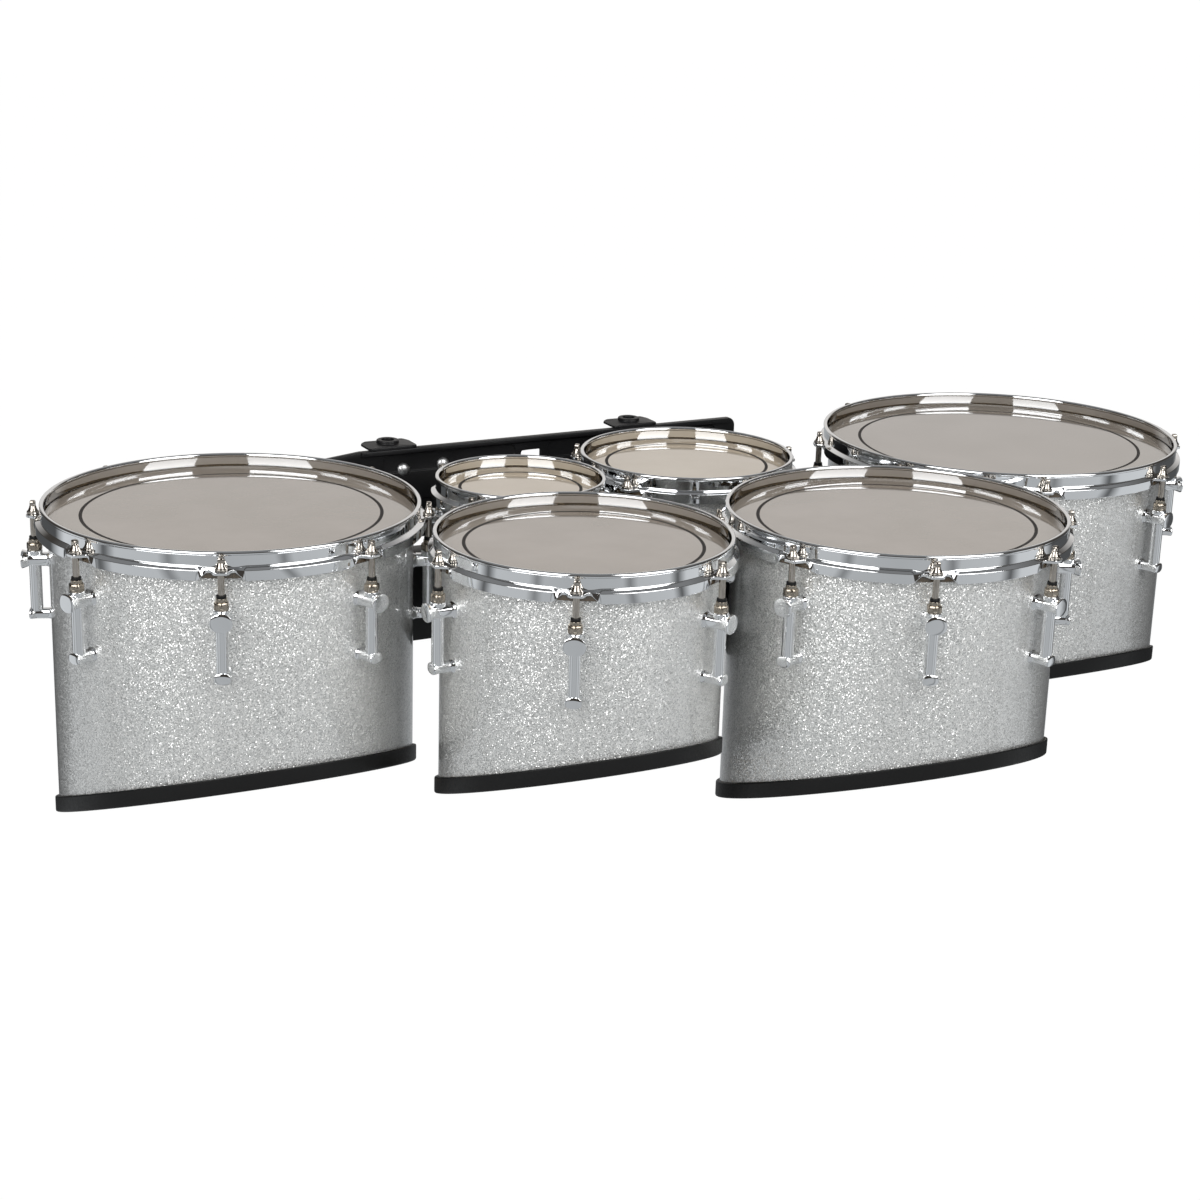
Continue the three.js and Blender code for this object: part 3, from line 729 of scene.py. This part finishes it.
def make_hoop(drum):
    reach = drum["radius"] + ROD_REACH
    rings = []
    for angle in hoop_angles(drum):
        turns = [abs((angle - a + math.pi) % (2 * math.pi) - math.pi) for a in drum["angles"]]
        rings.append(column(drum, angle, hoop_profile(min(turns) * reach)))
    vertices, faces = wound(rings)
    hoop = make_object(f"rim_{drum['name']}", vertices, faces, [CHROME], sharp=50)
    place(hoop, ROOT, "hoop", f"hoop_{drum['name']}")


# Rods and lugs, each made once at a drum's front and then set on every drum

def turned_from(outline, columns):
    """A part turned about the rod's axis from an outline in millimetres with rounded corners."""
    return turned([(r * MM, z * MM) for r, z in filleted(outline, closed=False)], columns)


def square_key():
    """The rod's square head with its chamfered top."""
    rings = []
    for half, z in KEY_STATIONS:
        corners = rounded_square(half, half * KEY_CORNER, KEY_CORNER_STEPS)
        rings.append([(a * MM, b * MM, z * MM) for a, b in corners])
    return wound(rings, capped=True)


def hex_nut():
    rings = []
    for half, corner, z in NUT_STATIONS:
        rings.append([(a * MM, ROD_REACH + b * MM, z * MM) for a, b in hexagon(half, corner)])
    return wound(rings, capped=True)


def post(stations, drop):
    """A bar that stands out of the shell."""
    rings = []
    for reach, width, height, power in stations:
        outline = post_section(width, height, power)
        rings.append([(t * MM, reach * MM, -drop + z * MM) for t, z in outline])
    return wound(rings, capped=True)


def rod_parts():
    parts = []
    for vertices, faces in (square_key(), turned_from(STEM_OUTLINE, ROD_COLUMNS)):
        parts.append(([(x, y + ROD_REACH, z) for x, y, z in vertices], faces, 0))
    return parts


def lug_parts():
    """Tube, cup, sleeve, washer, collar and posts; the last number is the material's."""
    parts = []
    outlines = (TUBE_OUTLINE, 0), (CUP_OUTLINE, 0), (SLEEVE_OUTLINE, 1), (WASHER_OUTLINE, 2)
    for outline, number in outlines:
        vertices, faces = turned_from(outline, LUG_COLUMNS)
        vertices = [(x, -y + ROD_REACH, z) for x, y, z in vertices]
        parts.append((vertices, [face[::-1] for face in faces], number))
    parts.append((*hex_nut(), 1))
    parts.append((*post(UPPER_STATIONS, UPPER_POST_DROP), 0))
    parts.append((*post(LOWER_STATIONS, LOWER_POST_DROP), 0))
    return parts


def placed_parts(drum, pattern):
    """For each of the drum's lug angles, the pattern's parts set there."""
    return [[(set_on(drum, angle, vertices), faces, number) for vertices, faces, number in pattern]
            for angle in drum["angles"]]


def make_lugs(drum, pattern):
    parts = [part for parts in placed_parts(drum, pattern) for part in parts]
    vertices, faces, indices = joined(parts)
    finishes = [CHROME, AGED_NICKEL, RUBBER]
    lugs = make_object(f"lugs_{drum['name']}", vertices, faces, finishes, indices, sharp=40)
    place(lugs, ROOT, "lug")


def make_rods(drum, pattern):
    """A piece of its own for each rod that turns; the small drums' rods are one fixed piece."""
    name = drum["name"]
    placed = placed_parts(drum, pattern)
    if drum["small"]:
        vertices, faces, indices = joined([part for parts in placed for part in parts])
        rods = make_object(f"rods_{name}", vertices, faces, [NICKEL], indices, sharp=40)
        place(rods, ROOT, "rod")
        return
    for i, parts in enumerate(placed, 1):
        vertices, faces, indices = joined(parts)
        rod = make_object(f"tuning_rod_{name}_{i}", vertices, faces, [NICKEL], indices, sharp=40)
        place(rod, f"tension_rod_{name}_{i}", "rod", f"rod_{name}_{i}")


# Rail

def make_softened(node, width):
    """A rail piece with its edges rounded off."""
    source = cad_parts[node]
    work = bmesh.new()
    work.from_mesh(source.data)
    work.transform(source.matrix_world)
    bmesh.ops.remove_doubles(work, verts=work.verts, dist=WELD)
    bmesh.ops.dissolve_limit(work, angle_limit=FLAT_ANGLE, verts=work.verts, edges=work.edges)
    edges = [e for e in work.edges if len(e.link_faces) == 2 and e.calc_face_angle(0) > EDGE_ANGLE]
    bmesh.ops.bevel(work, geom=edges, offset=width, segments=SOFT_STEPS, profile=0.5,
                    affect="EDGES")
    vertices = [tuple(v.co) for v in work.verts]
    work.verts.index_update()
    faces = [tuple(v.index for v in f.verts) for f in work.faces]
    work.free()
    fine = make_object(f"fine_{node}", vertices, faces, [BLACK], sharp=45)
    place(fine, ROOT, "rail", node)


def plan_reach(angle, low, high, corner):
    """The distance from the bore's axis to a rounded rectangle of the plan, in a direction."""
    dx, dy = math.sin(angle), -math.cos(angle)
    near, far = 0.0, FARTHEST_REACH
    for _ in range(HALVINGS):
        reach = (near + far) / 2
        x, y = reach * dx, reach * dy
        cx = min(max(x, low[0] + corner), high[0] - corner)
        cy = min(max(y, low[1] + corner), high[1] - corner)
        if math.hypot(x - cx, y - cy) > corner:
            far = reach
        else:
            near = reach
    return near


def make_receiver(side):
    """A base with a collar on it and a socket under it, round the bore for the carrier's hook."""
    node = f"receiver_{side}"
    low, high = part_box(node)
    middle = ((low.x + high.x) / 2, high.y - COLLAR_REACH)
    top, bottom = high.z, low.z
    base = top - COLLAR_HEIGHT
    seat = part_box("rail_plate")[1].z + EDGE_SEAT
    half = RECEIVER_LENGTH / 2
    plan_low, plan_high = (-half, low.y - middle[1]), (half, high.y - middle[1])
    rings = []
    for i in range(RECEIVER_COLUMNS):
        angle = 2 * math.pi * i / RECEIVER_COLUMNS
        reach = max(plan_reach(angle, plan_low, plan_high, RECEIVER_CORNER),
                    COLLAR_RADIUS + COLLAR_MARGIN)
        fall = RECEIVER_FALL * smoothstep(FALL_START * half, half, abs(reach * math.sin(angle)))
        profile = filleted([
            (BORE_RADIUS, top, BORE_ROUND), (COLLAR_RADIUS, top, COLLAR_ROUND),
            (COLLAR_RADIUS, base, COLLAR_FOOT_ROUND), (reach, base - fall, BASE_ROUND),
            (reach, seat, 0), (SOCKET_RADIUS, seat, 0), (SOCKET_RADIUS, bottom, SOCKET_ROUND),
            (BORE_RADIUS, bottom, 0),
        ])
        rings.append([(middle[0] + r * math.sin(angle), middle[1] - r * math.cos(angle), z)
                      for r, z in profile])
    vertices, faces = wound(rings)
    receiver = make_object(f"hook_{node}", vertices, faces, [BLACK], sharp=60)
    place(receiver, ROOT, "rail", node)


def make_bolts(hoop_top):
    """The two dome-headed bolts on the plate's front."""
    front = -PLATE_THICKNESS + PANEL_DEPTH
    dome = [(0, BOLT_HEIGHT)]
    dome += [(BOLT_RADIUS * math.sin(a), BOLT_HEIGHT * math.cos(a)) for a in DOME_ANGLES]
    dome += [(BOLT_RADIUS, 0), (0, 0)]
    vertices, faces = turned(dome, BOLT_COLUMNS)
    parts = []
    for x, drop in BOLTS:
        moved = [(x + vx, front - vz, hoop_top - drop + vy) for vx, vy, vz in vertices]
        parts.append((moved, faces, 0))
    vertices, faces, indices = joined(parts)
    place(make_object("plate_bolts", vertices, faces, [SATIN], indices), ROOT, "rail")


# Studio

def set_camera():
    cp, sp = math.cos(CAMERA_PITCH), math.sin(CAMERA_PITCH)
    ca, sa = math.cos(CAMERA_AZIMUTH), math.sin(CAMERA_AZIMUTH)
    ahead = Vector((sa * cp, ca * cp, -sp))
    level = Vector((ca, -sa, 0))
    down = ahead.cross(level)
    across = level * math.cos(CAMERA_ROLL) + down * math.sin(CAMERA_ROLL)
    down = -level * math.sin(CAMERA_ROLL) + down * math.cos(CAMERA_ROLL)
    turn = Matrix((across, -down, -ahead)).transposed()
    camera = bpy.data.objects.new("camera", bpy.data.cameras.new("camera"))
    camera.data.sensor_width = SENSOR
    camera.data.lens = SENSOR * FOCAL_PIXELS / PHOTO_PIXELS
    camera.data.clip_end = CAMERA_REACH
    camera.matrix_world = Matrix.Translation(CAMERA_PLACE) @ turn.to_4x4()
    bpy.context.scene.collection.objects.link(camera)
    bpy.context.scene.camera = camera


def seen_ray(tree):
    """1 for rays from the camera, also after they pass through glass, else 0."""
    path = add_node(tree, "LightPath").outputs
    inputs = {0: path["Is Camera Ray"], 1: path["Is Transmission Ray"]}
    return add_node(tree, "Math", inputs, operation="MAXIMUM").outputs[0]


def turn_share(tree, spot, centre=(0, 0, 0)):
    """How far a place or direction is turned: 0.5 on the photograph's side, 0 and 1 opposite it."""
    offset = vector_math(tree, "SUBTRACT", {0: spot, 1: centre})
    sa, ca = math.sin(CAMERA_AZIMUTH), math.cos(CAMERA_AZIMUTH)
    shares = {}
    for key, axis in enumerate(((ca, -sa, 0), (-sa, -ca, 0))):
        dot = add_node(tree, "VectorMath", {0: offset, 1: axis}, operation="DOT_PRODUCT")
        shares[key] = dot.outputs["Value"]
    around = add_node(tree, "Math", shares, operation="ARCTAN2").outputs[0]
    inputs = {"Value": around, "From Min": -math.pi, "From Max": math.pi}
    return add_node(tree, "MapRange", inputs).outputs["Result"]


def set_world():
    """White to the camera; to everything else a dark studio that is pale behind the drums."""
    world = bpy.data.worlds.new("studio")
    bpy.context.scene.world = world
    world.use_nodes = True
    tree = world.node_tree
    direction = add_node(tree, "TexCoord").outputs["Generated"]
    axes = add_node(tree, "SeparateXYZ", {0: direction}).outputs
    sides = ramp(tree, turn_share(tree, direction), ROOM_SIDES)
    height = ramp(tree, axes["Z"], ROOM_HEIGHTS)
    inputs = {"Factor": height, "A": sides, "B": (*ROOM_TOP, 1)}
    walls = add_node(tree, "Mix", inputs, data_type="RGBA").outputs["Result"]
    diffuse = add_node(tree, "LightPath").outputs["Is Diffuse Ray"]
    inputs = {"Value": diffuse, "To Min": 1, "To Max": ROOM_FILL}
    fill = add_node(tree, "MapRange", inputs).outputs["Result"]
    room = vector_math(tree, "SCALE", {0: walls, "Scale": fill})
    inputs = {"Factor": seen_ray(tree), "A": room, "B": (*(WORLD_WHITE,) * 3, 1)}
    seen = add_node(tree, "Mix", inputs, data_type="RGBA").outputs["Result"]
    background = tree.nodes["Background"]
    tree.links.new(seen, background.inputs["Color"])
    background.inputs["Strength"].default_value = 1


def add_light(name, spot, aim, size, power):
    light = bpy.data.lights.new(name, "AREA")
    light.shape = "RECTANGLE"
    light.size, light.size_y = size
    light.energy = power
    holder = bpy.data.objects.new(name, light)
    holder.location = spot
    holder.rotation_euler = (Vector(aim) - Vector(spot)).to_track_quat("-Z", "Y").to_euler()
    holder.visible_camera = False
    bpy.context.scene.collection.objects.link(holder)
    return holder


def add_box_light(name, start, end):
    """An upright softbox over a line of the plan that faces the drums."""
    a, b = (Vector((*point, 0)) * MM for point in (start, end))
    width, height = (b - a).length, BOX_TOP - BOX_LOW
    middle = (a + b) / 2 + Vector((0, 0, (BOX_LOW + BOX_TOP) / 2))
    facing = (b - a).cross(Vector((0, 0, 1))).normalized()
    if facing.dot(-middle) < 0:
        facing = -facing
    power = BOX_RADIANCE * math.pi * width * height
    add_light(name, middle, middle + facing, (width, height), power)


def set_floor():
    """White with a shadow to the camera; to metal it glows with a painted reflection, toned by
    direction.
    """
    finish, tree, shader = material("floor", FLOOR_GREY, FLOOR_ROUGHNESS)
    white = add_node(tree, "Emission", {"Strength": FLOOR_WHITE}).outputs[0]
    inputs = {0: seen_ray(tree), 1: FLOOR_GLOW}
    share = add_node(tree, "Math", inputs, operation="MULTIPLY").outputs[0]
    plain = add_node(tree, "MixShader", {"Fac": share, 1: shader.outputs[0], 2: white}).outputs[0]
    spot = add_node(tree, "TexCoord").outputs["Object"]
    stops = [(0.5 + degrees / 360, tuple(tone * c for c in FLOOR_REFLECTION_TINT))
             for degrees, tone in FLOOR_REFLECTION_GLOW]
    reflection_glow_tones = ramp(tree, turn_share(tree, spot, FLOOR_CENTRE), stops)
    # The floor glows to glossy rays: a painted reflection of a room for metal to mirror
    painted_reflection = add_node(tree, "Emission", {"Color": reflection_glow_tones}).outputs[0]
    glossy = add_node(tree, "LightPath").outputs["Is Glossy Ray"]
    seen = add_node(tree, "MixShader", {"Fac": glossy, 1: plain, 2: painted_reflection}).outputs[0]
    tree.links.new(seen, tree.nodes["Material Output"].inputs["Surface"])
    half, z = FLOOR_HALF, cad_box[0].z - FLOOR_BELOW
    corners = [(-half, -half, z), (half, -half, z), (half, half, z), (-half, half, z)]
    floor = make_object("floor", corners, [(0, 1, 2, 3)], [finish])


set_camera()
set_world()
set_floor()
for lamp in LAMPS:
    add_light(*lamp).visible_glossy = False
for box in BOXES:
    add_box_light(*box)

drums = [read_drum(name) for name in LUGS]
rod_pattern = rod_parts()
lug_pattern = lug_parts()
for drum in drums:
    make_shell(drum)
    make_edging(drum)
    make_head(drum)
    make_hoop(drum)
    make_lugs(drum, lug_pattern)
    make_rods(drum, rod_pattern)

for node, width in SOFTENED.items():
    make_softened(node, width)
make_receiver("left")
make_receiver("right")
make_bolts(drums[0]["top"] + SMALL_DROP)

bpy.context.scene.view_settings.view_transform = "Standard"
